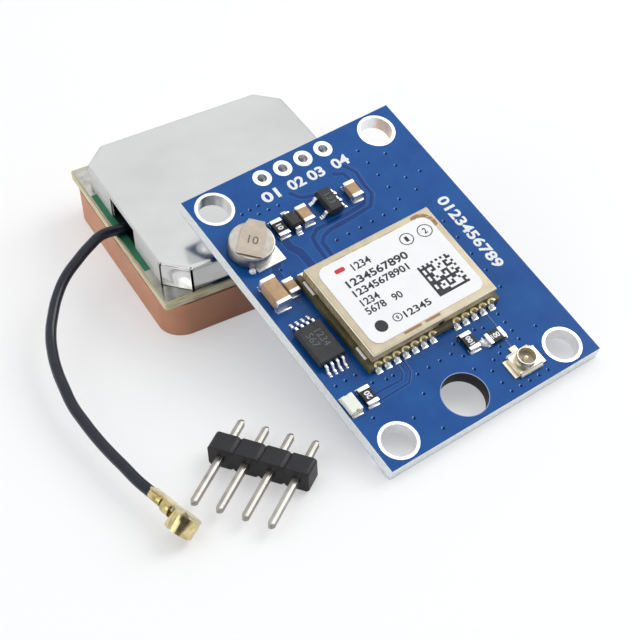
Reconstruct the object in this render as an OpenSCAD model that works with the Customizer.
// Satellite navigation module: a circuit board that leans on its active patch antenna,
// with the antenna's coaxial lead and plug, and the loose pin strip of the set.
// Millimetres, +Z up, origin at the middle of the antenna's underside.

/* [Circuit board] */
// Thickness of the circuit board
board_t = 1.6; // [0.8:0.1:2.4]
// Room between the receiver and the board's right edge
right_margin = 5.45; // [3:0.05:12]
// Inner diameter of the plated corner holes
corner_hole_d = 3.4; // [2:0.1:4.5]
// Width of the tinned ring round each corner hole
corner_ring_w = 0.33; // [0.28:0.01:1]
// Room from a corner ring to the left edge
corner_gap_left = 0.45; // [0.1:0.05:2]
// Room from a corner ring to the right edge
corner_gap_right = 1.0; // [0.1:0.05:2]
// Room from a corner ring to the front edge
corner_gap_front = 0.25; // [0.15:0.05:2]
// Room from a corner ring to the back edge
corner_gap_back = 0.25; // [0.1:0.05:2]
// Diameter of the large bare hole near the front edge
large_hole_d = 4.7; // [3:0.1:6]
// Room from the large hole to the front edge
large_hole_gap = 0.55; // [0.3:0.05:2]
// How far left of the receiver's middle the large hole is
large_hole_offset = 1.4; // [0:0.1:4]
// Diameter of the holes for the pin strip
pin_hole_d = 1.0; // [0.8:0.05:1.3]
// Room between the rings round those holes
pin_ring_gap = 0.55; // [0.2:0.05:0.8]
// Room from those rings to the back edge
pin_ring_edge = 0.45; // [0.2:0.05:3]
// Depth of the strip of board that carries the pin names
name_strip = 3.53; // [1:0.02:6]
// Thickness of the metal in the plated holes
plating_t = 0.03; // [0.02:0.005:0.04]
// Wall of the metal sleeve in a corner hole
corner_sleeve_t = 0.25; // [0.2:0.05:0.4]
// Thickness of a tinned pad
pad_t = 0.05; // [0.03:0.01:0.1]
// How far a pad reaches past the end of its part
pad_reach = 0.2; // [0.15:0.05:0.6]

/* [Receiver] */
// Width of the receiver's own board, along its two rows of contacts
receiver_w = 16; // [13:0.1:20]
// Length of the receiver's own board
receiver_l = 12.2; // [10:0.1:18]
// Thickness of the receiver's own board
receiver_board_t = 0.8; // [0.5:0.1:1.2]
// Height of the receiver's metal cover above its board
cover_h = 1.46; // [1.3:0.02:3]
// Room from the edge of the receiver's board to its lid
lid_inset = 0.42; // [0.3:0.02:0.8]
// Thickness of the lid's sheet metal
lid_t = 0.15; // [0.08:0.01:0.25]
// Height of the lid's rim below its top face
lid_rim = 1.15; // [0.35:0.05:1.2]
// Thickness of the frame's sheet metal
frame_t = 0.2; // [0.1:0.02:0.3]
// Length of the frame's soldered feet
frame_foot = 1.9; // [1:0.1:3]
// Height of the frame's lower edge above the receiver's board
frame_lift = 0.12; // [0.05:0.01:0.25]
// Spacing of the contacts
contact_pitch = 1.1; // [1:0.05:1.6]
// From the end of the receiver's board to the first contact
contact_margin = 1.0; // [0.7:0.05:2]
// Gap between the two groups of contacts in a row
contact_group_gap = 3.0; // [2:0.1:4]
// Radius of the half-round contact notches
contact_r = 0.35; // [0.2:0.01:0.45]
// Width of the gold half ring round the top of a contact notch
contact_rim = 0.13; // [0.05:0.01:0.15]
// How far the contacts' solder reaches past the receiver's board
contact_reach = 0.5; // [0.2:0.05:0.6]
// Width of the receiver's square chip
receiver_chip_w = 5; // [4:0.1:6]
// Length of the receiver's oscillator
oscillator_w = 2.5; // [2:0.1:3.2]
// Width of the receiver's oscillator
oscillator_l = 2; // [1.6:0.1:2.5]
// Length of the receiver's filter
receiver_filter_w = 1.4; // [1:0.1:3]
// Width of the receiver's filter
receiver_filter_l = 1.1; // [0.8:0.1:2]
// Room from the lid's edge to the label
label_inset = 0.75; // [0.3:0.05:2]
// Corner radius of the label
label_r = 1.1; // [0.3:0.1:2]
// Thickness of the label
label_t = 0.05; // [0.03:0.01:0.1]

/* [Small parts] */
// Width of the common small parts: resistors, capacitors, lamp
chip_w = 1.25; // [0.8:0.05:1.6]
// Length of the common small parts
chip_l = 2.0; // [1.6:0.05:2.6]
// Height of a resistor
resistor_h = 0.5; // [0.35:0.05:0.7]
// Height of the regulator's two capacitors
capacitor_h = 0.9; // [0.6:0.05:1.4]
// Height of the lamp
lamp_h = 0.75; // [0.6:0.05:1.2]
// Length of the metal end of a small part
terminal_l = 0.4; // [0.25:0.05:0.5]
// Thickness of the metal on the ends
terminal_t = 0.03; // [0.02:0.01:0.05]
// Width of the large capacitor
bulk_w = 1.6; // [1.2:0.05:2]
// Length of the large capacitor
bulk_l = 3.2; // [2.6:0.1:4]
// Height of the large capacitor
bulk_h = 1.5; // [1:0.1:2.2]
// Width of the small capacitor beside it
bypass_w = 1.2; // [0.7:0.05:1.3]
// Length of the small capacitor beside it
bypass_l = 1.7; // [1.4:0.05:2]
// Height of the small capacitor beside it
bypass_h = 0.8; // [0.5:0.05:1.2]

/* [Chips] */
// Width of the memory chip
memory_w = 3.0; // [2.8:0.1:4]
// Length of the memory chip
memory_l = 4.4; // [3:0.1:6]
// Height of the memory chip's body
memory_h = 0.9; // [0.7:0.05:1.5]
// Spacing of the memory chip's leads
memory_pitch = 0.65; // [0.5:0.05:0.8]
// How far the memory chip's leads reach out
memory_reach = 1.0; // [0.8:0.05:1.4]
// Width of the voltage regulator's body
regulator_w = 1.6; // [1.3:0.05:2]
// Length of the voltage regulator's body
regulator_l = 2.9; // [2.6:0.1:3.6]
// Height of the voltage regulator's body
regulator_h = 1.1; // [0.8:0.05:1.5]
// Spacing of the voltage regulator's leads
regulator_pitch = 0.95; // [0.7:0.05:1.1]
// How far the voltage regulator's leads reach out
regulator_reach = 0.65; // [0.55:0.05:1.2]
// Length of the diode's body
diode_l = 1.7; // [1.3:0.05:2.4]
// Height of the diode's body
diode_h = 0.9; // [0.7:0.05:1.3]
// How far the diode's leads reach out
diode_reach = 0.55; // [0.5:0.05:1]
// Thickness of the leads
lead_t = 0.14; // [0.1:0.01:0.2]
// Height of a chip's body above its pads
chip_lift = 0.08; // [0.05:0.01:0.2]
// How much a moulded body tapers on each side
mould_draft = 0.1; // [0.03:0.01:0.2]

/* [Backup battery] */
// Diameter of the cell
battery_d = 4.6; // [4:0.1:6]
// Height of the cell
battery_h = 1.4; // [1:0.1:2.4]
// Thickness of the two tabs
tab_t = 0.15; // [0.1:0.01:0.25]
// Width of the top tab
top_tab_w = 2.6; // [1.6:0.1:3]
// Room between the top tab's free end and the cell's rim
top_tab_inset = 0.45; // [0.3:0.05:1]
// Width of the top tab's leg
top_tab_leg = 1.6; // [1:0.1:1.6]
// How far the top tab's foot reaches past the cell
top_tab_foot = 0.8; // [0.5:0.1:1.2]
// How far the bottom tab shows past the cell's right side
bottom_tab_reach = 0.1; // [0.05:0.05:0.4]
// How far the bottom tab shows in front of the cell
bottom_tab_front = 0.4; // [0.1:0.05:0.6]
// Width of the bottom tab
bottom_tab_w = 3.25; // [2.5:0.05:4]

/* [Antenna socket] */
// Width and length of the socket's base
socket_w = 2.6; // [2.3:0.1:3.4]
// Height of the socket's base
socket_base_h = 0.4; // [0.3:0.05:0.6]
// Height of the whole socket
socket_h = 1.25; // [1:0.05:1.8]
// Outer diameter of the socket's ring
socket_ring_d = 2.0; // [1.6:0.05:2.2]
// Thickness of the socket's metal
socket_t = 0.12; // [0.08:0.01:0.2]
// How far the socket's legs reach past its base
socket_leg = 0.65; // [0.4:0.05:0.9]
// Diameter of the socket's middle pin
socket_pin_d = 0.5; // [0.3:0.05:0.7]

/* [Board layout] */
// Room from the left edge to the memory chip
memory_edge_gap = 0.55; // [0.2:0.05:3]
// Room from the memory chip to the receiver
memory_receiver_gap = 0.8; // [0.6:0.05:4]
// Room from the left edge to the large capacitor
bulk_edge_gap = 0.75; // [0.2:0.05:1]
// Room between the large and the small capacitor
bypass_gap = 0.5; // [0.3:0.05:0.6]
// Room from the left edge to the battery
battery_edge_gap = 0.45; // [0.05:0.05:0.6]
// Room from the left edge to the lamp
lamp_edge_gap = 0.15; // [0.1:0.05:0.8]
// Room between the lamp and its resistor
lamp_resistor_gap = 0.67; // [0.3:0.01:1.2]
// Room from the front left corner ring to the lamp's pad
lamp_front_gap = 1.99; // [0.5:0.01:4]
// Room from the lamp's pad to the memory chip's pads
memory_front_gap = 2.3; // [0.5:0.1:4]
// Room from the memory chip's pads to the large capacitor's pad
bulk_front_gap = 1.5; // [0.5:0.1:4]
// Room from the capacitor's pad or the receiver to the battery
battery_front_gap = 1.65; // [0.5:0.05:4]
// Room from the battery to the corner ring behind it
battery_back_gap = 1.4; // [0.9:0.05:4]
// Room from the front edge to the socket
socket_front_gap = 1.38; // [0.3:0.02:3]
// Room from the socket's right leg to the corner ring
socket_side_gap = 0.64; // [0.3:0.01:2]
// Room from the socket's rear leg to the line resistor
line_front_gap = 1.1; // [0.4:0.05:3]
// How far left of the socket's middle the line resistor is
line_offset = 0.75; // [0:0.05:1.5]
// Room between the line resistor's pad and the bias resistor
bias_gap = 0.73; // [0.45:0.01:2]
// How far behind the line resistor's front side the bias resistor starts
bias_step = 0.47; // [0:0.01:1.5]
// Room from the bias resistor's pad to the receiver's solder
receiver_front_gap = 0.5; // [0.3:0.05:4]
// Room from the receiver's solder to the row of power parts
row_front_gap = 3.72; // [1:0.01:6]
// Room from the battery to the row of power parts
row_battery_gap = 0.96; // [0.9:0.02:3]
// Room between parts that stand close in that row
row_gap = 0.24; // [0.15:0.01:1]
// Room on each side of the regulator's leads in that row
regulator_gap = 0.95; // [0.85:0.05:2]

/* [Antenna] */
// Width and length of the ceramic and of the antenna's board
antenna_w = 24.7; // [22:0.1:30]
// Height of the ceramic
ceramic_h = 4.0; // [3:0.1:6]
// Radius of the ceramic's upright corners
ceramic_r = 2.6; // [1:0.1:4]
// Radius of the antenna board's corners
antenna_board_r = 0.3; // [0.1:0.05:2]
// Width of the silvered patch under the ceramic
patch_w = 20; // [16:0.5:21]
// Thickness of the silvered patch
patch_t = 0.05; // [0.03:0.01:0.1]
// Diameter of the feed pin
feed_d = 1.0; // [0.6:0.1:1.4]
// Diameter of the feed pin's flat head
feed_head_d = 2.4; // [2:0.1:3]
// Thickness of the feed pin's flat head
feed_head_t = 0.4; // [0.2:0.05:0.8]
// How far the feed pin is from the middle
feed_offset = 2.4; // [1.5:0.1:4]
// Thickness of the adhesive under the antenna's board
adhesive_t = 0.2; // [0.1:0.05:0.4]
// Thickness of the antenna's board
antenna_board_t = 0.9; // [0.6:0.1:1.6]
// How far the ceramic and its board lie left of the shield's middle
ceramic_left = 0.2; // [0:0.05:0.4]
// How far the ceramic and its board lie behind the shield's middle
ceramic_back = 0.25; // [0:0.05:0.4]
// Turn of the antenna about the vertical
antenna_turn = -8.3; // [-15:0.1:0]

/* [Antenna shield] */
// Height of the folded shield
shield_h = 2.9; // [2.4:0.1:4]
// Room from the edge of the antenna's board to the shield
shield_inset = 0.75; // [0.5:0.05:2]
// Length cut from each side at the slanted corners
shield_chamfer = 2.4; // [1.5:0.1:4]
// Thickness of the shield's sheet metal
shield_t = 0.25; // [0.15:0.05:0.4]
// Outer radius of the shield's folds
shield_fold_r = 0.45; // [0.42:0.01:0.7]
// Width of the slits between the folded walls
slit_w = 0.25; // [0.15:0.05:0.4]
// Width of the notch that the lead leaves by
notch_w = 6.0; // [4:0.1:8]
// How far the notch's middle is from the middle of its wall
notch_offset = 0.25; // [-1:0.05:1]
// Width and length of the amplifier chip under the shield
amplifier_w = 2.0; // [1.5:0.1:3]
// Height of the amplifier chip
amplifier_h = 0.8; // [0.5:0.1:1.2]
// Width and length of the filter under the shield
filter_w = 3.0; // [2:0.1:4]
// Height of the filter
filter_h = 1.1; // [0.6:0.1:1.6]

/* [Lead and plug] */
// Diameter of the coaxial lead
lead_d = 1.13; // [0.8:0.01:1.4]
// Length of the plug along the lead
plug_l = 6.0; // [5.5:0.1:8]
// Diameter of the plug's round head
plug_d = 2.8; // [2.4:0.1:3.2]
// Thickness of the plug's sheet metal
plug_t = 0.2; // [0.12:0.02:0.3]
// Depth of the plug's head below the lead's axis
plug_depth = 1.2; // [1:0.05:1.4]
// Turn of the plug about the lead, from mouth down
plug_roll = 50; // [0:1:60]
// Heading of the plug on the table
plug_heading = -83; // [-90:1:-70]
// Place of the lead's end at the plug, left of the middle
plug_left = 27.05; // [26:0.05:28]
// Place of the lead's end at the plug, in front of the middle
plug_front = 27.4; // [26:0.1:28]

/* [Pin strip] */
// Spacing of the pins
pin_pitch = 2.54; // [2:0.01:3]
// Thickness of a square pin
pin_w = 0.64; // [0.4:0.02:0.8]
// Length of a pin on its long side
pin_long = 5.95; // [4:0.05:8]
// Length of a pin on its short side
pin_short = 2.95; // [2:0.05:4]
// Length of the tapered pin tip
pin_tip = 0.35; // [0.1:0.05:0.8]
// Height of the plastic strip as it lies
strip_h = 2.46; // [2:0.02:3]
// Depth of the plastic strip along the pins
strip_depth = 2.15; // [1.5:0.05:3]
// Chamfer of the plastic cells
strip_chamfer = 0.25; // [0.1:0.05:0.6]
// Play between a pin and the plastic
pin_play = 0.01; // [0.005:0.005:0.03]
// Heading of the pins on the table
strip_heading = 31; // [20:1:40]
// Place of the long pin tips' middle, left of the middle
strip_left = 22.75; // [21:0.05:24]
// Place of the long pin tips' middle, in front of the middle
strip_front = 33.65; // [30:0.05:36]

/* [Lean] */
// Distance of the board's lower edge in front of the antenna's middle
board_front = 38.25; // [34:0.05:45]
// Distance of the board's middle to the right of the antenna's middle
board_right = 4.55; // [2:0.05:8]

/* [Hidden] */
$fn = 48;
pin_count = 4;
contacts_right = 5;
leads_per_side = 4;
fit_gap = 0.02;
body_r = 0.12;
eps = 0.001;

// Antenna levels and outline
antenna_board_z = ceramic_h + adhesive_t;
shield_z = antenna_board_z + antenna_board_t;
antenna_top = shield_z + shield_h;
shield_w = antenna_w - 2 * shield_inset;
shield_half = shield_w / 2;
shield_flat = shield_half - shield_chamfer;
shield_slant = (shield_w - shield_chamfer) / sqrt(2);
function shield_corner(a) =
    let (steep = abs(sin(a)) > abs(cos(a)))
    let (x = steep ? shield_flat : shield_half)
    let (y = steep ? shield_half : shield_flat)
    [sign(cos(a)) * x, sign(sin(a)) * y, a];
// Each corner of the shield's outline, with the heading of its fold
shield_corners = [for (a = [22.5:45:360]) shield_corner(a)];

function turned(p) = [
    p.x * cos(antenna_turn) - p.y * sin(antenna_turn),
    p.x * sin(antenna_turn) + p.y * cos(antenna_turn),
    p.z
];

// The board rests on the round fold at the shield corner that lies nearest its lower edge
corner_y = min([for (c = shield_corners) turned(c).y]);
sharp_tilt = atan2(antenna_top, corner_y + board_front);
touch_y = corner_y + shield_fold_r * (1 - sin(sharp_tilt));
touch_z = antenna_top - shield_fold_r * (1 - cos(sharp_tilt));
tilt = atan2(touch_z, touch_y + board_front);

// Board layout: x from the left edge, y from the front edge
corner_ring_r = corner_hole_d / 2 + corner_ring_w;
pin_ring_r = (pin_pitch - pin_ring_gap) / 2;
chip_reach = chip_l / 2 + pad_reach;
memory_half = memory_l / 2 + memory_reach + pad_reach;
bulk_half = bulk_l / 2 + pad_reach;
row_half = max(chip_reach, diode_l / 2 + diode_reach + pad_reach, regulator_l / 2);
socket_half = socket_w / 2 + socket_leg;

memory_x = memory_edge_gap + memory_w / 2;
receiver_x = memory_edge_gap + memory_w + memory_receiver_gap + receiver_w / 2;
board_w = receiver_x + receiver_w / 2 + right_margin;
corner_left = corner_gap_left + corner_ring_r;
corner_right = board_w - corner_gap_right - corner_ring_r;
corner_front = corner_gap_front + corner_ring_r;

socket_x = corner_right - corner_ring_r - socket_side_gap - socket_half;
socket_y = socket_front_gap + socket_w / 2;
line_x = socket_x - line_offset;
line_y = socket_y + socket_half + line_front_gap + chip_w / 2;
bias_x = line_x - chip_reach - bias_gap - chip_w / 2;
bias_y = line_y - chip_w / 2 + bias_step + chip_l / 2;
receiver_y = bias_y + chip_reach + receiver_front_gap + contact_reach + receiver_l / 2;
receiver_back = receiver_y + receiver_l / 2 + contact_reach;

lamp_x = lamp_edge_gap + chip_w / 2;
lamp_y = corner_front + corner_ring_r + lamp_front_gap + chip_reach;
lamp_resistor_x = lamp_x + chip_w + lamp_resistor_gap;
memory_y = lamp_y + chip_reach + memory_front_gap + memory_half;
bulk_x = bulk_edge_gap + bulk_w / 2;
bulk_y = memory_y + memory_half + bulk_front_gap + bulk_half;
bypass_x = bulk_x + bulk_w / 2 + bypass_gap + bypass_w / 2;
battery_r = battery_d / 2;
battery_x = battery_edge_gap + battery_r;
battery_y = max(bulk_y + bulk_half, receiver_back) + battery_front_gap + battery_r;

row_y = receiver_back + row_front_gap + row_half;
charge_resistor_x = battery_x + battery_r + row_battery_gap + chip_w / 2;
diode_x = charge_resistor_x + chip_w + row_gap;
input_x = diode_x + chip_w + row_gap;
regulator_half = regulator_w / 2 + regulator_reach;
regulator_x = input_x + chip_w / 2 + regulator_gap + regulator_half;
output_x = regulator_x + regulator_half + regulator_gap + chip_w / 2;

column_l = battery_y + battery_r + battery_back_gap + 2 * corner_ring_r + corner_gap_back;
row_l = row_y + row_half + name_strip + 2 * pin_ring_r + pin_ring_edge;
board_l = max(column_l, row_l);
corner_back = board_l - corner_gap_back - corner_ring_r;
pin_row_y = board_l - pin_ring_edge - pin_ring_r;
pin_row_x = (corner_left + corner_right) / 2;
corner_places = [
    for (x = [corner_left, corner_right], y = [corner_front, corner_back]) [x, y]
];
pin_places = [
    for (i = [0:pin_count - 1]) [pin_row_x + (i - (pin_count - 1) / 2) * pin_pitch, pin_row_y]
];
large_hole_x = receiver_x - large_hole_offset;
large_hole_y = large_hole_gap + large_hole_d / 2;

// Receiver levels and contacts, from the receiver's middle
cover_z = pad_t + receiver_board_t;
lid_w = receiver_w - 2 * lid_inset;
lid_l = receiver_l - 2 * lid_inset;
lid_play = 0.02;
lid_fold_r = lid_t + lid_play;
frame_w = lid_w - 2 * (lid_t + lid_play);
frame_l = lid_l - 2 * (lid_t + lid_play);
frame_h = cover_h - lid_t;
contacts_right_span = (contacts_right - 1) * contact_pitch;
contacts_left_room = receiver_w - 2 * contact_margin - contacts_right_span - contact_group_gap;
contacts_left = floor(contacts_left_room / contact_pitch + 0.01) + 1;
contact_xs = concat(
    [for (i = [0:contacts_left - 1]) -receiver_w / 2 + contact_margin + i * contact_pitch],
    [for (i = [0:contacts_right - 1]) receiver_w / 2 - contact_margin - i * contact_pitch]
);

// Plug and lead: the lead leaves its solder joint straight and enters the plug straight
plug_z = plug_depth * cos(plug_roll) + plug_d / 2 * sin(plug_roll);
plug_place = [-plug_left, -plug_front, plug_z];
plug_entry = 2 * [cos(plug_heading), sin(plug_heading), 0];
joint_z = shield_z + lead_d / 2 + 0.035;
joint_place = [-9.6, 0.1, joint_z];
joint_exit = [-2.2, 0, 0];
lead_route = [
    turned(joint_place),
    turned(joint_place + joint_exit),
    [-13.7, 2.4, 5.6],
    [-15.5, 2.0, 5.3],
    [-17.4, 1.3, 4.9],
    [-19.4, 0.4, 4.4],
    [-21.2, -0.9, 3.8],
    [-22.8, -2.6, 3.3],
    [-24.2, -4.5, 2.9],
    [-25.3, -6.7, 2.6],
    [-26.1, -8.9, 2.4],
    [-26.7, -11.2, 2.3],
    [-27.2, -13.6, 2.1],
    [-27.4, -16.0, 2.0],
    [-27.5, -18.4, 1.9],
    [-27.5, -20.8, 1.9],
    [-27.4, -23.1, 1.9],
    plug_place - plug_entry,
    plug_place
];

// Frames

// The leaning board's own frame: x from the left edge, y up the slope, z from the underside
module on_board() {
    translate([board_right, -board_front, 0])
        rotate([tilt, 0, 0])
            translate([-board_w / 2, 0, 0])
                children();
}

// A place on the board's top face
module on_top(x, y) {
    on_board() translate([x, y, board_t]) children();
}

module in_antenna() {
    rotate([0, 0, antenna_turn]) children();
}

// The same frame moved to the middle of the ceramic
module in_ceramic() {
    in_antenna() translate([-ceramic_left, ceramic_back, 0]) children();
}

module in_plug() {
    translate(plug_place)
        rotate([0, 0, plug_heading])
            rotate([-plug_roll, 0, 0])
                children();
}

// The pin strip's own frame: x along the pins from their long tips, y along the row
module in_strip() {
    translate([-strip_left, -strip_front, strip_h / 2])
        rotate([0, 0, strip_heading])
            children();
}

// Shared shapes

// Rectangle with round corners, centred
module round_square(w, l, r) {
    square([w - 2 * r, l], center = true);
    square([w, l - 2 * r], center = true);
    for (sx = [-1, 1], sy = [-1, 1])
        translate([sx * (w / 2 - r), sy * (l / 2 - r)]) circle(r);
}

// Upright outline of a folded cover: square feet, round shoulders of radius r
module shoulder_profile(w, h, r) {
    translate([-w / 2, 0]) square([w, h - r]);
    translate([-w / 2 + r, 0]) square([w - 2 * r, h]);
    for (s = [-1, 1])
        translate([s * (w / 2 - r), h - r]) circle(r);
}

// Solid that a folded cover encloses, with round shoulders on its four sides
module shoulder_box(w, l, h, r) {
    intersection() {
        rotate([90, 0, 0]) linear_extrude(2 * l, center = true) shoulder_profile(w, h, r);
        rotate([90, 0, 90]) linear_extrude(2 * w, center = true) shoulder_profile(l, h, r);
    }
}

// Side outline of a moulded body: tapered above and below an upright band
function mould_outline(w, h, band_z) = [
    [-w / 2 + mould_draft, 0], [-w / 2, band_z], [-w / 2, band_z + lead_t], [-w / 2 + mould_draft, h],
    [w / 2 - mould_draft, h], [w / 2, band_z + lead_t], [w / 2, band_z], [w / 2 - mould_draft, 0]
];

function band_height(h) = (h - lead_t) / 2;

module moulded_body(w, l, h) {
    translate([0, 0, pad_t + chip_lift])
        intersection() {
            rotate([90, 0, 0])
                linear_extrude(l, center = true) polygon(mould_outline(w, h, band_height(h)));
            rotate([90, 0, 90])
                linear_extrude(w, center = true) polygon(mould_outline(l, h, band_height(h)));
        }
}

// Gull-wing lead that leaves a body of height h at x = 0 and stands on its pad
module gull_lead(w, h, reach) {
    low = chip_lift + band_height(h);
    shoulder = reach * 0.25;
    heel = reach * 0.55;
    translate([0, 0, pad_t])
        rotate([90, 0, 0])
            linear_extrude(w, center = true)
                polygon([
                    [0, low], [0, low + lead_t], [shoulder + lead_t, low + lead_t],
                    [heel + lead_t, lead_t], [reach, lead_t], [reach, 0], [heel, 0], [shoulder, low]
                ]);
}

// Tinned pad that starts under a part, reaches past its end at x = 0 and climbs that end
module solder(w, under, reach, climb) {
    translate([-under, -w / 2, 0]) cube([under + reach, w, pad_t]);
    translate([0, 0, pad_t - eps])
        rotate([90, 0, 0])
            linear_extrude(w, center = true)
                difference() {
                    square(climb);
                    translate([climb, climb]) circle(climb);
                }
}

// Both pads of a small part that lies along y
module solder_pair(w, l) {
    for (s = [90, -90])
        rotate([0, 0, s]) translate([l / 2, 0, 0]) solder(w, terminal_l, pad_reach, pad_reach);
}

// Ceramic body of a capacitor along y
module capacitor_body(w, l, h) {
    translate([0, 0, pad_t + h / 2])
        rotate([90, 0, 0])
            linear_extrude(l - 2 * terminal_t, center = true)
                round_square(w - 2 * terminal_t, h - 2 * terminal_t, body_r - terminal_t);
}

// The two metal caps of a capacitor along y
module capacitor_caps(w, l, h) {
    for (turn = [0, 180])
        rotate([0, 0, turn])
            translate([0, l / 2 - terminal_l, pad_t + h / 2])
                rotate([-90, 0, 0])
                    difference() {
                        linear_extrude(terminal_l) round_square(w, h, body_r);
                        translate([0, 0, -terminal_t])
                            linear_extrude(terminal_l)
                                round_square(w - 2 * terminal_t, h - 2 * terminal_t, body_r - terminal_t);
                    }
}

module resistor_body() {
    translate([-chip_w / 2, -chip_l / 2 + terminal_t, pad_t + terminal_t])
        cube([chip_w, chip_l - 2 * terminal_t, resistor_h - 2 * terminal_t]);
}

// The two wrapped ends of a part of height h along y
module wrapped_ends(h) {
    for (turn = [90, -90])
        rotate([0, 0, turn])
            translate([chip_l / 2, 0, pad_t])
                rotate([90, 0, 0])
                    linear_extrude(chip_w, center = true)
                        difference() {
                            translate([-terminal_l, 0]) square([terminal_l, h]);
                            translate([-terminal_l - terminal_t, terminal_t])
                                square([terminal_l, h - 2 * terminal_t]);
                        }
}

// Plated hole: a barrel with a flat ring on each face of the board
module plated_hole(hole_d, wall, ring_r) {
    rotate_extrude() {
        translate([hole_d / 2, -plating_t]) square([wall, board_t + 2 * plating_t]);
        for (z = [-plating_t, board_t])
            translate([hole_d / 2, z]) square([ring_r - hole_d / 2, plating_t]);
    }
}

module board_hole(d) {
    translate([0, 0, -board_t]) cylinder(d = d, h = 3 * board_t);
}

// Circuit board

module circuit_board() {
    color("royalblue")
        on_board()
            difference() {
                cube([board_w, board_l, board_t]);
                for (p = corner_places)
                    translate(p) board_hole(corner_hole_d + 2 * (corner_sleeve_t + fit_gap));
                for (p = pin_places)
                    translate(p) board_hole(pin_hole_d + 2 * (plating_t + fit_gap));
                translate([large_hole_x, large_hole_y]) board_hole(large_hole_d);
            }
}

module corner_hole_plating() {
    color("silver")
        on_board()
            for (p = corner_places)
                translate(p) plated_hole(corner_hole_d, corner_sleeve_t, corner_ring_r);
}

module pin_hole_plating() {
    color("silver")
        on_board()
            for (p = pin_places)
                translate(p) plated_hole(pin_hole_d, plating_t, pin_ring_r);
}

// Receiver

// Each contact's place on the receiver's edge, with x pointing out of the board
module at_contacts() {
    for (x = contact_xs, side = [-1, 1])
        translate([x, side * receiver_l / 2, 0])
            rotate([0, 0, side * 90])
                children();
}

module receiver_board() {
    color("darkgreen")
        on_top(receiver_x, receiver_y)
            difference() {
                translate([-receiver_w / 2, -receiver_l / 2, pad_t])
                    cube([receiver_w, receiver_l, receiver_board_t]);
                at_contacts() cylinder(r = contact_r, h = 2 * cover_z);
            }
}

// Half ring about the origin on the side of negative x
module half_ring(outer_r, inner_r) {
    difference() {
        circle(outer_r);
        circle(inner_r);
        translate([0, -2 * outer_r]) square(4 * outer_r);
    }
}

// Half-round gold linings of the edge notches, each with a flat half ring on top of the receiver's board
module receiver_contacts() {
    lining_r = contact_r - fit_gap;
    inner_r = lining_r - plating_t * 2;
    color("gold")
        on_top(receiver_x, receiver_y)
            at_contacts() {
                translate([0, 0, pad_t])
                    linear_extrude(receiver_board_t) half_ring(lining_r, inner_r);
                translate([0, 0, cover_z])
                    linear_extrude(plating_t) half_ring(contact_r + contact_rim, inner_r);
            }
}

module receiver_solder() {
    color("gainsboro")
        on_top(receiver_x, receiver_y)
            at_contacts()
                solder(2 * contact_r, 2 * contact_r, contact_reach, contact_reach);
}

// Sheet-metal fence that stands on the receiver's board on feet at its corners
module receiver_frame() {
    color("darkkhaki")
        on_top(receiver_x, receiver_y)
            translate([0, 0, cover_z])
                difference() {
                    translate([-frame_w / 2, -frame_l / 2, 0]) cube([frame_w, frame_l, frame_h]);
                    translate([-frame_w / 2 + frame_t, -frame_l / 2 + frame_t, -frame_h])
                        cube([frame_w - 2 * frame_t, frame_l - 2 * frame_t, 3 * frame_h]);
                    translate([-frame_w / 2 + frame_foot, -frame_l, -1])
                        cube([frame_w - 2 * frame_foot, 2 * frame_l, 1 + frame_lift]);
                    translate([-frame_w, -frame_l / 2 + frame_foot, -1])
                        cube([2 * frame_w, frame_l - 2 * frame_foot, 1 + frame_lift]);
                }
}

module receiver_lid() {
    color("khaki")
        on_top(receiver_x, receiver_y)
            translate([0, 0, cover_z + cover_h - lid_rim])
                difference() {
                    shoulder_box(lid_w, lid_l, lid_rim, lid_fold_r);
                    translate([0, 0, -lid_t])
                        shoulder_box(lid_w - 2 * lid_t, lid_l - 2 * lid_t, lid_rim, lid_fold_r - lid_t);
                }
}

module receiver_label() {
    color("white")
        on_top(receiver_x, receiver_y)
            translate([0, 0, cover_z + cover_h])
                linear_extrude(label_t)
                    round_square(lid_w - 2 * label_inset, lid_l - 2 * label_inset, label_r);
}

// A chip on the receiver's own board, under the cover
module inner_chip(x, y, w, l, h) {
    on_top(receiver_x + x, receiver_y + y)
        translate([-w / 2, -l / 2, cover_z])
            cube([w, l, h]);
}

module receiver_chip() {
    color("dimgray") inner_chip(-receiver_w / 8, 0, receiver_chip_w, receiver_chip_w, cover_h * 0.58);
}

module receiver_oscillator() {
    color("lightgray")
        inner_chip(receiver_w / 5, receiver_l / 6, oscillator_w, oscillator_l, cover_h * 0.55);
}

module receiver_filter() {
    color("lightgray")
        inner_chip(receiver_w / 5, -receiver_l / 6, receiver_filter_w, receiver_filter_l, cover_h * 0.4);
}

// Backup battery

module battery_cell() {
    rim_r = battery_h * 0.1;
    color("silver")
        on_top(battery_x, battery_y)
            translate([0, 0, pad_t + tab_t])
                rotate_extrude() {
                    square([battery_r - rim_r, battery_h]);
                    square([battery_r, battery_h - rim_r]);
                    translate([battery_r - rim_r, battery_h - rim_r]) circle(rim_r);
                }
}

// Welded strip across the cell, cut back to the width of the leg and foot behind the cell
module battery_top_tab() {
    top_z = pad_t + tab_t + battery_h;
    half = top_tab_w / 2;
    leg_x = battery_r + fit_gap;
    color("tan")
        on_top(battery_x, battery_y)
            rotate([0, 0, 45]) {
                translate([0, 0, top_z])
                    linear_extrude(tab_t)
                        polygon([
                            [-battery_r + top_tab_inset, -half], [battery_r / 2, -half],
                            [leg_x + tab_t, -top_tab_leg / 2], [leg_x + tab_t, top_tab_leg / 2],
                            [battery_r / 2, half], [-battery_r + top_tab_inset, half]
                        ]);
                translate([leg_x, -top_tab_leg / 2, pad_t])
                    cube([tab_t, top_tab_leg, top_z - pad_t + tab_t / 2]);
                translate([leg_x, -top_tab_leg / 2, pad_t]) cube([top_tab_foot, top_tab_leg, tab_t]);
            }
}

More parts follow.
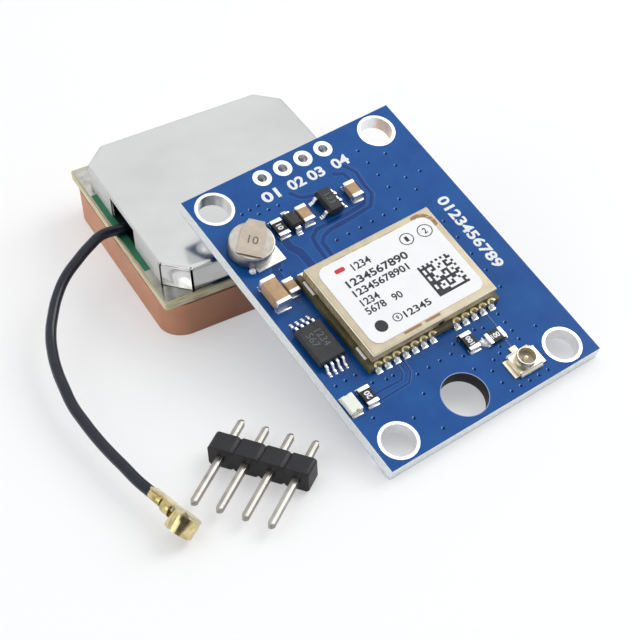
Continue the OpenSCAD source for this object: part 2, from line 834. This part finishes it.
// Flat plate under the cell, whose right corner shows
module battery_bottom_tab() {
    color("silver")
        on_top(battery_x, battery_y)
            translate([battery_r + bottom_tab_reach - bottom_tab_w, -battery_r - bottom_tab_front, pad_t])
                cube([bottom_tab_w, battery_r + bottom_tab_front, tab_t]);
}

// Chips with leads

memory_lead_w = memory_pitch * 0.42;
regulator_lead_w = regulator_pitch * 0.42;
diode_lead_w = chip_w / 2;

// The memory chip's leads, x pointing out of the body at each one
module at_memory_leads() {
    for (i = [0:leads_per_side - 1], side = [-1, 1])
        translate([(i - (leads_per_side - 1) / 2) * memory_pitch, side * memory_l / 2, 0])
            rotate([0, 0, side * 90])
                children();
}

// Three leads on the regulator's right side and two on its left
module at_regulator_leads() {
    for (i = [-1, 0, 1])
        translate([regulator_w / 2, i * regulator_pitch, 0]) children();
    for (i = [-1, 1])
        translate([-regulator_w / 2, i * regulator_pitch, 0]) rotate([0, 0, 180]) children();
}

module at_diode_leads() {
    for (side = [-1, 1])
        translate([0, side * diode_l / 2, 0]) rotate([0, 0, side * 90]) children();
}

module memory_chip() {
    color("dimgray") on_top(memory_x, memory_y) moulded_body(memory_w, memory_l, memory_h);
}

module memory_leads() {
    color("gainsboro")
        on_top(memory_x, memory_y)
            at_memory_leads() gull_lead(memory_lead_w, memory_h, memory_reach);
}

module regulator() {
    color("dimgray") on_top(regulator_x, row_y) moulded_body(regulator_w, regulator_l, regulator_h);
}

module regulator_leads() {
    color("gainsboro")
        on_top(regulator_x, row_y)
            at_regulator_leads() gull_lead(regulator_lead_w, regulator_h, regulator_reach);
}

module charge_diode() {
    color("dimgray") on_top(diode_x, row_y) moulded_body(chip_w, diode_l, diode_h);
}

module diode_leads() {
    color("gainsboro")
        on_top(diode_x, row_y)
            at_diode_leads() gull_lead(diode_lead_w, diode_h, diode_reach);
}

// Capacitors and resistors

module bulk_capacitor() {
    color("burlywood") on_top(bulk_x, bulk_y) capacitor_body(bulk_w, bulk_l, bulk_h);
}

module bypass_capacitor() {
    color("burlywood") on_top(bypass_x, bulk_y) capacitor_body(bypass_w, bypass_l, bypass_h);
}

module input_capacitor() {
    color("burlywood") on_top(input_x, row_y) capacitor_body(chip_w, chip_l, capacitor_h);
}

module output_capacitor() {
    color("burlywood") on_top(output_x, row_y) capacitor_body(chip_w, chip_l, capacitor_h);
}

module capacitor_terminals() {
    color("gainsboro") {
        on_top(bulk_x, bulk_y) capacitor_caps(bulk_w, bulk_l, bulk_h);
        on_top(bypass_x, bulk_y) capacitor_caps(bypass_w, bypass_l, bypass_h);
        for (x = [input_x, output_x])
            on_top(x, row_y) capacitor_caps(chip_w, chip_l, capacitor_h);
    }
}

// Places of the resistors that lie along y
resistor_places = [[charge_resistor_x, row_y], [lamp_resistor_x, lamp_y], [bias_x, bias_y]];

module charge_resistor() {
    color("black") on_top(charge_resistor_x, row_y) resistor_body();
}

module lamp_resistor() {
    color("black") on_top(lamp_resistor_x, lamp_y) resistor_body();
}

module bias_resistor() {
    color("black") on_top(bias_x, bias_y) resistor_body();
}

module line_resistor() {
    color("black") on_top(line_x, line_y) rotate([0, 0, 90]) resistor_body();
}

module resistor_terminals() {
    color("gainsboro") {
        for (p = resistor_places)
            on_top(p.x, p.y) wrapped_ends(resistor_h);
        on_top(line_x, line_y) rotate([0, 0, 90]) wrapped_ends(resistor_h);
    }
}

// Lamp

lamp_base_h = lamp_h * 0.4;
lamp_notch_r = chip_w / 6;

module lamp_base() {
    color("ivory")
        on_top(lamp_x, lamp_y)
            translate([-chip_w / 2, -chip_l / 2 + terminal_t, pad_t + terminal_t])
                cube([chip_w, chip_l - 2 * terminal_t, lamp_base_h - 2 * terminal_t]);
}

// Clear block with a half-round relief at each end
module lamp_lens() {
    color("lightyellow")
        on_top(lamp_x, lamp_y)
            translate([0, 0, pad_t + lamp_base_h])
                linear_extrude(lamp_h - lamp_base_h)
                    difference() {
                        square([chip_w, chip_l - 2 * terminal_t], center = true);
                        for (s = [-1, 1])
                            translate([0, s * chip_l / 2]) circle(lamp_notch_r);
                    }
}

module lamp_terminals() {
    color("gainsboro") on_top(lamp_x, lamp_y) wrapped_ends(lamp_base_h);
}

// Antenna socket

socket_slot_w = 0.8;
socket_strap_w = socket_w * 0.8;

module socket_insulator() {
    color("white")
        on_top(socket_x, socket_y)
            translate([0, 0, pad_t])
                difference() {
                    linear_extrude(socket_base_h) square(socket_w, center = true);
                    translate([0, 0, -socket_base_h])
                        cylinder(d = socket_pin_d + 2 * fit_gap, h = 3 * socket_base_h);
                    translate([-socket_slot_w / 2 - fit_gap, -socket_slot_w / 2 - fit_gap, -1])
                        cube([socket_slot_w + 2 * fit_gap, socket_w, 1 + socket_t]);
                }
}

// Ring with two straps that run over the base and down its sides to the outer legs
module socket_shell() {
    ring_z = pad_t + socket_base_h;
    color("gold")
        on_top(socket_x, socket_y) {
            difference() {
                union() {
                    translate([0, 0, ring_z]) cylinder(d = socket_ring_d, h = socket_h - socket_base_h);
                    translate([-socket_w / 2 - socket_t, -socket_strap_w / 2, ring_z])
                        cube([socket_w + 2 * socket_t, socket_strap_w, socket_t]);
                }
                translate([0, 0, ring_z - 1]) cylinder(d = socket_ring_d - 2 * socket_t, h = socket_h + 2);
            }
            for (s = [-1, 1]) {
                translate([s * (socket_w + socket_t) / 2, 0, pad_t])
                    translate([-socket_t / 2, -socket_strap_w / 2, 0])
                        cube([socket_t, socket_strap_w, socket_base_h + socket_t / 2]);
                translate([s * (socket_w + socket_leg) / 2, 0, pad_t])
                    translate([-socket_leg / 2, -socket_strap_w / 2, 0])
                        cube([socket_leg, socket_strap_w, socket_t]);
            }
        }
}

// Middle pin with a round tip, and the flat tail that leaves the base at the back
module socket_pin() {
    tip_r = socket_pin_d / 2;
    color("gold")
        on_top(socket_x, socket_y)
            translate([0, 0, pad_t]) {
                cylinder(d = socket_pin_d, h = socket_h * 0.85 - tip_r);
                translate([0, 0, socket_h * 0.85 - tip_r]) sphere(tip_r);
                translate([-socket_slot_w / 2, -socket_slot_w / 2, 0])
                    cube([socket_slot_w, socket_slot_w / 2 + socket_half, socket_t]);
            }
}

// Tinned pads and solder of every part that is soldered to the board, receiver apart
module solder_joints() {
    color("gainsboro") {
        on_top(bulk_x, bulk_y) solder_pair(bulk_w, bulk_l);
        on_top(bypass_x, bulk_y) solder_pair(bypass_w, bypass_l);
        for (x = [input_x, output_x, charge_resistor_x])
            on_top(x, row_y) solder_pair(chip_w, chip_l);
        for (p = [[lamp_x, lamp_y], [lamp_resistor_x, lamp_y], [bias_x, bias_y]])
            on_top(p.x, p.y) solder_pair(chip_w, chip_l);
        on_top(line_x, line_y) rotate([0, 0, 90]) solder_pair(chip_w, chip_l);
        on_top(memory_x, memory_y)
            at_memory_leads()
                translate([memory_reach, 0, 0])
                    solder(memory_lead_w, memory_reach * 0.4, pad_reach, lead_t);
        on_top(regulator_x, row_y)
            at_regulator_leads()
                translate([regulator_reach, 0, 0])
                    solder(regulator_lead_w, regulator_reach * 0.4, pad_reach, lead_t);
        on_top(diode_x, row_y)
            at_diode_leads()
                translate([diode_reach, 0, 0])
                    solder(diode_lead_w, diode_reach * 0.4, pad_reach, lead_t);
        for (s = [-1, 1])
            on_top(socket_x, socket_y)
                translate([s * (socket_w + socket_leg) / 2, 0, pad_t / 2])
                    cube([socket_leg, socket_strap_w, pad_t], center = true);
        on_top(socket_x, socket_y)
            translate([0, (socket_w + socket_leg) / 2, pad_t / 2])
                cube([socket_slot_w, socket_leg, pad_t], center = true);
        on_top(battery_x, battery_y) {
            translate([battery_r + bottom_tab_reach - bottom_tab_w, -battery_r - bottom_tab_front, 0])
                cube([bottom_tab_w, battery_r / 2, pad_t]);
            rotate([0, 0, 45])
                translate([battery_r + fit_gap, -top_tab_leg / 2, 0])
                    cube([top_tab_foot, top_tab_leg, pad_t]);
        }
    }
}

// Antenna

module antenna_ceramic() {
    color("peru")
        in_ceramic()
            difference() {
                linear_extrude(ceramic_h) round_square(antenna_w, antenna_w, ceramic_r);
                translate([-patch_w / 2, -patch_w / 2, -1]) cube([patch_w, patch_w, 1 + patch_t]);
                translate([0, feed_offset, -1]) {
                    cylinder(d = feed_head_d + 2 * fit_gap, h = 1 + feed_head_t);
                    cylinder(d = feed_d + 2 * fit_gap, h = ceramic_h + 2);
                }
            }
}

// Silvered face, flush with the ceramic's underside
module antenna_patch() {
    color("silver")
        in_ceramic()
            difference() {
                translate([-patch_w / 2 + fit_gap, -patch_w / 2 + fit_gap, 0])
                    cube([patch_w - 2 * fit_gap, patch_w - 2 * fit_gap, patch_t]);
                translate([0, feed_offset, -1])
                    cylinder(d = feed_head_d + 2 * fit_gap, h = 2);
            }
}

// Pin with a flat head, from the patch up to the antenna's board
module feed_pin() {
    color("silver")
        in_ceramic()
            translate([0, feed_offset, 0]) {
                cylinder(d = feed_head_d, h = feed_head_t);
                cylinder(d = feed_d, h = shield_z);
            }
}

module antenna_adhesive() {
    side = antenna_w - 2 * ceramic_r;
    color("whitesmoke")
        in_ceramic()
            translate([0, 0, ceramic_h])
                linear_extrude(adhesive_t)
                    difference() {
                        square(side, center = true);
                        translate([0, feed_offset]) circle(d = feed_d + 2 * fit_gap);
                    }
}

module antenna_board() {
    color("seagreen")
        in_ceramic()
            translate([0, 0, antenna_board_z])
                linear_extrude(antenna_board_t)
                    difference() {
                        round_square(antenna_w, antenna_w, antenna_board_r);
                        translate([0, feed_offset]) circle(d = feed_d + 2 * fit_gap);
                    }
}

// Solid inside the shield's outer skin, or inside its sheet when inset by the sheet's thickness
module shield_form(inset) {
    h = shield_h - inset;
    r = shield_fold_r - inset;
    reach = 2 * shield_w;
    side = 2 * (shield_half - inset);
    diagonal = 2 * (shield_slant - inset);
    intersection() {
        rotate([90, 0, 0]) linear_extrude(reach, center = true) shoulder_profile(side, h, r);
        rotate([90, 0, 90]) linear_extrude(reach, center = true) shoulder_profile(side, h, r);
        rotate([90, 0, 45]) linear_extrude(reach, center = true) shoulder_profile(diagonal, h, r);
        rotate([90, 0, 135]) linear_extrude(reach, center = true) shoulder_profile(diagonal, h, r);
    }
}

// Slit up a folded edge, with a round relief where it meets the top face
module shield_slit() {
    fold_z = shield_h - shield_fold_r;
    translate([-2 * shield_t, -slit_w / 2, -1]) cube([4 * shield_t, slit_w, 1 + fold_z]);
    translate([0, 0, fold_z]) cylinder(r = slit_w, h = shield_h);
}

// Tin-plate cover cut and folded from one sheet: eight walls hang from the top face, with a slit
// and a round relief between neighbours, and a notch in the left wall for the lead
module antenna_shield() {
    color("gainsboro")
        in_antenna()
            translate([0, 0, shield_z])
                difference() {
                    shield_form(0);
                    translate([0, 0, -eps]) shield_form(shield_t);
                    for (c = shield_corners)
                        translate([c.x, c.y, 0]) rotate([0, 0, c.z]) shield_slit();
                    translate([-shield_half - 1, notch_offset - notch_w / 2, -1])
                        cube([1 + 2 * shield_t, notch_w, 1 + shield_h - shield_fold_r]);
                }
}

module amplifier_chip() {
    color("dimgray")
        in_antenna()
            translate([-antenna_w / 8, -antenna_w / 8, shield_z + amplifier_h / 2])
                cube([amplifier_w, amplifier_w, amplifier_h], center = true);
}

module antenna_filter() {
    color("lightgray")
        in_antenna()
            translate([antenna_w / 8, -antenna_w / 8, shield_z + filter_h / 2])
                cube([filter_w, filter_w, filter_h], center = true);
}

// Lump of solder that holds the lead's braid on the antenna's board
module lead_joint() {
    lump_r = lead_d * 0.7;
    lump_l = lead_d * 1.5;
    lump_z = joint_z - shield_z;
    color("silver")
        in_antenna()
            translate([joint_place.x, joint_place.y, shield_z])
                rotate([90, 0, 90])
                    linear_extrude(lump_l) {
                        translate([-lump_r, 0]) square([2 * lump_r, lump_z]);
                        intersection() {
                            translate([0, lump_z]) circle(lump_r);
                            translate([-lump_r, 0]) square([2 * lump_r, lump_z + lump_r]);
                        }
                    }
}

// Lead

function along(points, i) =
    let (a = points[max(i - 1, 0)], b = points[min(i + 1, len(points) - 1)])
    (b - a) / norm(b - a);

function ring_points(centre, direction, r, sides) =
    let (side = cross(direction, [0, 0, 1]), across = side / norm(side), up = cross(across, direction))
    [for (k = [0:sides - 1]) centre + r * (cos(360 * k / sides) * across + sin(360 * k / sides) * up)];

module swept_tube(points, d, sides = 8) {
    last = len(points) - 1;
    rings = [for (i = [0:last]) each ring_points(points[i], along(points, i), d / 2, sides)];
    walls = [
        for (i = [0:last - 1], k = [0:sides - 1])
            let (a = i * sides + k, b = i * sides + (k + 1) % sides)
            each [[a, b, b + sides], [a, b + sides, a + sides]]
    ];
    ends = [
        [for (k = [sides - 1:-1:0]) k],
        [for (k = [0:sides - 1]) last * sides + k]
    ];
    polyhedron(rings, concat(walls, ends));
}

module antenna_lead() {
    color("midnightblue") swept_tube(lead_route, lead_d);
}

// Plug: x along the lead from its end, mouth towards -z

plug_plate_z = lead_d / 2 - plug_t;
plug_head_x = plug_l - plug_d / 2;
plug_crimp_l = plug_l * 0.26;
plug_wing_x = plug_l * 0.32;
plug_wing_l = plug_l * 0.17;
plug_wing_r = lead_d * 0.68;
plug_tongue_w = lead_d * 1.2;
plug_inner_d = plug_d - 2 * plug_t;
plug_disc_t = plug_plate_z * 1.2;
plug_slot_w = plug_t;

// Stamped shell: back plate, two crimps round the lead, and a springy ring with a gap and slots
module plug_shell() {
    ring_h = plug_depth + plug_plate_z;
    color("gold")
        in_plug() {
            translate([0, 0, plug_plate_z])
                linear_extrude(plug_t) {
                    translate([0, -plug_tongue_w / 2]) square([plug_head_x, plug_tongue_w]);
                    translate([plug_head_x, 0]) circle(d = plug_d);
                }
            rotate([90, 0, 90]) linear_extrude(plug_crimp_l) circle(lead_d / 2);
            translate([plug_wing_x, 0, 0])
                rotate([90, 0, 90])
                    linear_extrude(plug_wing_l)
                        intersection() {
                            circle(plug_wing_r);
                            translate([-plug_wing_r, -plug_wing_r])
                                square([2 * plug_wing_r, plug_wing_r + plug_plate_z + plug_t / 2]);
                        }
            translate([plug_head_x, 0, -plug_depth])
                difference() {
                    linear_extrude(ring_h + plug_t / 2)
                        difference() {
                            circle(d = plug_d);
                            circle(d = plug_inner_d);
                            translate([-plug_d, -plug_tongue_w / 2]) square([plug_d, plug_tongue_w]);
                        }
                    translate([-plug_slot_w / 2, -plug_d, -1])
                        cube([plug_slot_w, 2 * plug_d, 1 + ring_h - plug_disc_t]);
                }
        }
}

// White disc under the back plate, with a neck that carries the wire from the crimp
module plug_insulator() {
    neck_x = plug_wing_x + plug_wing_l;
    color("white")
        in_plug()
            translate([0, 0, plug_plate_z - plug_disc_t])
                linear_extrude(plug_disc_t) {
                    translate([plug_head_x, 0]) circle(d = plug_inner_d - 2 * fit_gap);
                    translate([neck_x, -plug_tongue_w / 3])
                        square([plug_head_x - neck_x, plug_tongue_w * 2 / 3]);
                }
}

// Hollow contact that hangs from the disc
module plug_contact() {
    contact_h = (plug_depth + plug_plate_z - plug_disc_t) * 0.75;
    color("gold")
        in_plug()
            translate([plug_head_x, 0, plug_plate_z - plug_disc_t - contact_h])
                difference() {
                    cylinder(d = plug_d * 0.3, h = contact_h);
                    translate([0, 0, -1]) cylinder(d = plug_d * 0.18, h = contact_h);
                }
}

// Pin strip

strip_row = [for (i = [0:pin_count - 1]) (i - (pin_count - 1) / 2) * pin_pitch];
pin_l = pin_long + strip_depth + pin_short;

// One plastic cell across the row, seen along the pins
module strip_cell() {
    half_w = pin_pitch / 2;
    half_h = strip_h / 2;
    polygon([
        [-half_w, -half_h + strip_chamfer], [-half_w + strip_chamfer, -half_h],
        [half_w - strip_chamfer, -half_h], [half_w, -half_h + strip_chamfer],
        [half_w, half_h - strip_chamfer], [half_w - strip_chamfer, half_h],
        [-half_w + strip_chamfer, half_h], [-half_w, half_h - strip_chamfer]
    ]);
}

module strip_insulator() {
    hole_w = pin_w + 2 * pin_play;
    color("black")
        in_strip()
            translate([pin_long, 0, 0])
                rotate([90, 0, 90])
                    linear_extrude(strip_depth)
                        difference() {
                            for (y = strip_row)
                                translate([y, 0]) strip_cell();
                            for (y = strip_row)
                                translate([y, 0]) square(hole_w, center = true);
                        }
}

// Square pin with a four-sided taper at both tips
module strip_pin(i) {
    half = pin_w / 2;
    tip = half / 2;
    outline = [
        [0, -tip], [pin_tip, -half], [pin_l - pin_tip, -half], [pin_l, -tip],
        [pin_l, tip], [pin_l - pin_tip, half], [pin_tip, half], [0, tip]
    ];
    in_strip()
        translate([0, strip_row[i], 0])
            intersection() {
                linear_extrude(pin_w, center = true) polygon(outline);
                rotate([90, 0, 0]) linear_extrude(pin_w, center = true) polygon(outline);
            }
}

module strip_pin_1() {
    color("wheat") strip_pin(0);
}

module strip_pin_2() {
    color("wheat") strip_pin(1);
}

module strip_pin_3() {
    color("wheat") strip_pin(2);
}

module strip_pin_4() {
    color("wheat") strip_pin(3);
}

circuit_board();
corner_hole_plating();
pin_hole_plating();
receiver_board();
receiver_contacts();
receiver_solder();
receiver_frame();
receiver_lid();
receiver_label();
receiver_chip();
receiver_oscillator();
receiver_filter();
battery_cell();
battery_top_tab();
battery_bottom_tab();
memory_chip();
memory_leads();
regulator();
regulator_leads();
charge_diode();
diode_leads();
bulk_capacitor();
bypass_capacitor();
input_capacitor();
output_capacitor();
capacitor_terminals();
charge_resistor();
lamp_resistor();
bias_resistor();
line_resistor();
resistor_terminals();
lamp_base();
lamp_lens();
lamp_terminals();
socket_insulator();
socket_shell();
socket_pin();
solder_joints();
antenna_ceramic();
antenna_patch();
feed_pin();
antenna_adhesive();
antenna_board();
antenna_shield();
amplifier_chip();
antenna_filter();
lead_joint();
antenna_lead();
plug_shell();
plug_insulator();
plug_contact();
strip_insulator();
strip_pin_1();
strip_pin_2();
strip_pin_3();
strip_pin_4();
